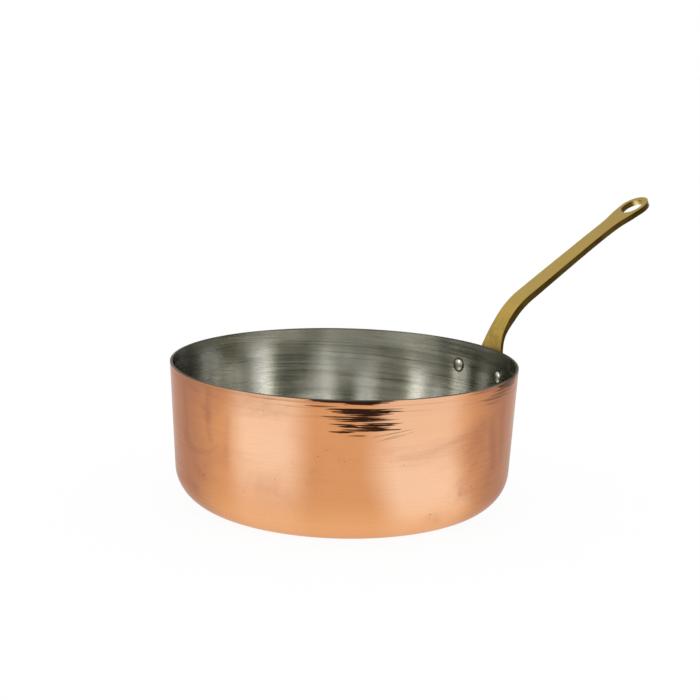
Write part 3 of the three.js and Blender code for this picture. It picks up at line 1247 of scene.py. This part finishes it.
RIVET_SPREAD = math.radians(11.85)
RIVETS = (
    Rivet("upper_rivet_left", "rivet_upper_left", RIVET_SPREAD, 21.3 * MM),
    Rivet("upper_rivet_right", "rivet_upper_right", -RIVET_SPREAD, 21.3 * MM),
    Rivet("lower_rivet", "rivet_lower", 0.0, 49 * MM),
)


# The studio


@dataclass(frozen=True)
class Softbox:
    """A soft rectangular light that faces the pan."""

    name: str
    angle: float
    distance: float
    height: float
    width: float
    length: float
    glow: float


@dataclass(frozen=True)
class Studio:
    """The floor, the lights and the camera."""

    azimuth: float = math.radians(-31.74)
    distance: float = 1.24085
    height: float = 0.37524
    pitch: float = math.radians(-11.505)
    heading: float = math.radians(0.194)
    roll: float = math.radians(1.428)
    focal_length: float = 80.85
    sensor_width: float = 36.0
    floor_half_side: float = 12.0
    aim_height: float = 0.08
    tent_radius: float = 4.0
    tent_glow: float = 0.75
    surround_glow: float = 1.0
    table_glow: float = 0.95
    softboxes: tuple[Softbox, ...] = (
        Softbox("softbox_left", math.radians(-68), 1.0, 1.05, 0.5, 1.1, 5.0),
        Softbox("softbox_right", math.radians(73), 1.0, 1.05, 0.5, 1.1, 5.0),
        Softbox("front_light", math.radians(-1), 1.0, 1.1, 0.62, 0.8, 2.0),
        Softbox("back_panel", math.radians(-140), 1.3, 0.85, 1.7, 1.2, 1.0),
    )

    def build(self) -> None:
        """Build everything that isn't part of the pan."""
        self.build_camera()
        self.build_floor()
        self.build_world()
        self.build_tent()
        for softbox in self.softboxes:
            self.build_softbox(softbox)

    def build_camera(self) -> None:
        """Set the camera in front of the pan, a little above its rim."""
        data = bpy.data.cameras.new("camera")
        data.lens = self.focal_length
        data.sensor_width = self.sensor_width
        camera = bpy.data.objects.new("camera", data)
        bpy.context.scene.collection.objects.link(camera)
        turn = Matrix.Rotation(self.azimuth - self.heading, 4, "Z")
        tilt = Matrix.Rotation(math.pi / 2 + self.pitch, 4, "X")
        camera.matrix_world = (Matrix.Translation(self.around(0.0, self.distance, self.height)) @ turn @ tilt
                               @ Matrix.Rotation(self.roll, 4, "Z"))
        bpy.context.scene.camera = camera

    def around(self, angle: float, distance: float, height: float) -> Vector:
        """A place round the pan.

        Args:
            angle: Angle to the right of the camera's side of the pan, in radians.
            distance: Distance from the axis.
            height: Height above the floor.

        Returns:
            The place.
        """
        turn = self.azimuth + angle
        return Vector((distance * math.sin(turn), -distance * math.cos(turn), height))

    def build_floor(self) -> None:
        """Lay the plain pale floor."""
        bm = bmesh.new()
        bmesh.ops.create_grid(bm, x_segments=1, y_segments=1, size=self.floor_half_side)
        bmesh.ops.translate(bm, vec=(0, 0, -0.1 * MM), verts=bm.verts[:])
        floor = new_piece("floor", bm)
        shade = Shade("pale_floor")
        grey = 1.0 - self.table_glow
        plain = shade.node("ShaderNodeBsdfDiffuse", {}, {"Color": (grey, grey, grey)})
        glow = shade.node("ShaderNodeEmission", {}, {"Strength": self.table_glow})
        lit = shade.node("ShaderNodeAddShader", {}, {0: plain.outputs[0], 1: glow.outputs[0]})
        shade.node("ShaderNodeOutputMaterial", {}, {"Surface": lit.outputs[0]})
        floor.data.materials.append(shade.material)

    def build_world(self) -> None:
        """Light the floor evenly from a white surround."""
        world = bpy.data.worlds.new("white_surround")
        world.use_nodes = True
        surround = world.node_tree.nodes["Background"]
        surround.inputs["Color"].default_value = (1.0, 1.0, 1.0, 1.0)
        surround.inputs["Strength"].default_value = self.surround_glow
        bpy.context.scene.world = world
        bpy.context.scene.view_settings.view_transform = "Standard"

    def build_tent(self) -> None:
        """Hang the dim tent that the metal reflects between the lights."""
        bm = bmesh.new()
        bmesh.ops.create_uvsphere(bm, u_segments=48, v_segments=24, radius=self.tent_radius)
        self.show_in_reflections_only(new_piece("tent", bm), self.tent_glow)

    def show_in_reflections_only(self, card: bpy.types.Object, glow: float) -> None:
        """Make a stage piece that only the metal's reflections show.

        Args:
            card: The piece.
            glow: How bright it is.
        """
        shade = Shade(card.name)
        light = shade.node("ShaderNodeEmission", {}, {"Strength": glow})
        shade.node("ShaderNodeOutputMaterial", {}, {"Surface": light.outputs[0]})
        card.data.materials.append(shade.material)
        card.visible_camera = False
        card.visible_diffuse = False
        card.visible_shadow = False

    def build_softbox(self, softbox: Softbox) -> None:
        """Stand a soft light beside the pan, facing it.

        Args:
            softbox: The light.
        """
        place = self.around(softbox.angle, softbox.distance, softbox.height)
        aim = Vector((0, 0, self.aim_height)) - place
        bm = bmesh.new()
        bmesh.ops.create_grid(bm, x_segments=1, y_segments=1, size=0.5)
        bmesh.ops.scale(bm, vec=(softbox.width, softbox.length, 1.0), verts=bm.verts[:])
        bmesh.ops.transform(bm, verts=bm.verts[:], matrix=Matrix.Translation(place)
                            @ aim.to_track_quat("-Z", "Y").to_matrix().to_4x4())
        self.show_in_reflections_only(new_piece(softbox.name, bm), softbox.glow)


# Assembly


def dress(piece: bpy.types.Object, material: bpy.types.Material, slot: str, *nodes: str) -> None:
    """Give a piece its finish and its place in the model.

    Args:
        piece: The piece.
        material: Its finish.
        slot: The name of its material slot, which is only logged.
        nodes: The CAD nodes that it stands for.
    """
    piece.data.materials.append(material)
    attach(piece, BODY)
    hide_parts(*nodes)
    log.info("%s: %d faces, %s", piece.name, len(piece.data.polygons), slot)


def main() -> None:
    """Build the studio and then every piece of the saucepan."""
    logging.basicConfig(level=logging.INFO, format="%(message)s")
    Studio().build()
    shape = PanShape.from_frame()
    copper = CopperFinish().make()
    tin = TinFinish().make()
    brass = BrassFinish().make()
    pan = Pan(shape)
    dress(pan.build_body(), copper, "copper", "copper_body")
    dress(pan.build_lining(), tin, "tin", "tin_lining")
    dress(Handle(HandleShape(shape), RIVETS).build(), brass, "cast_brass", "handle")
    rivet_metal = RivetFinish().make()
    for rivet in RIVETS:
        dress(rivet.build(shape), rivet_metal, "tinned_rivet", rivet.node)


if __name__ == "__main__":
    main()
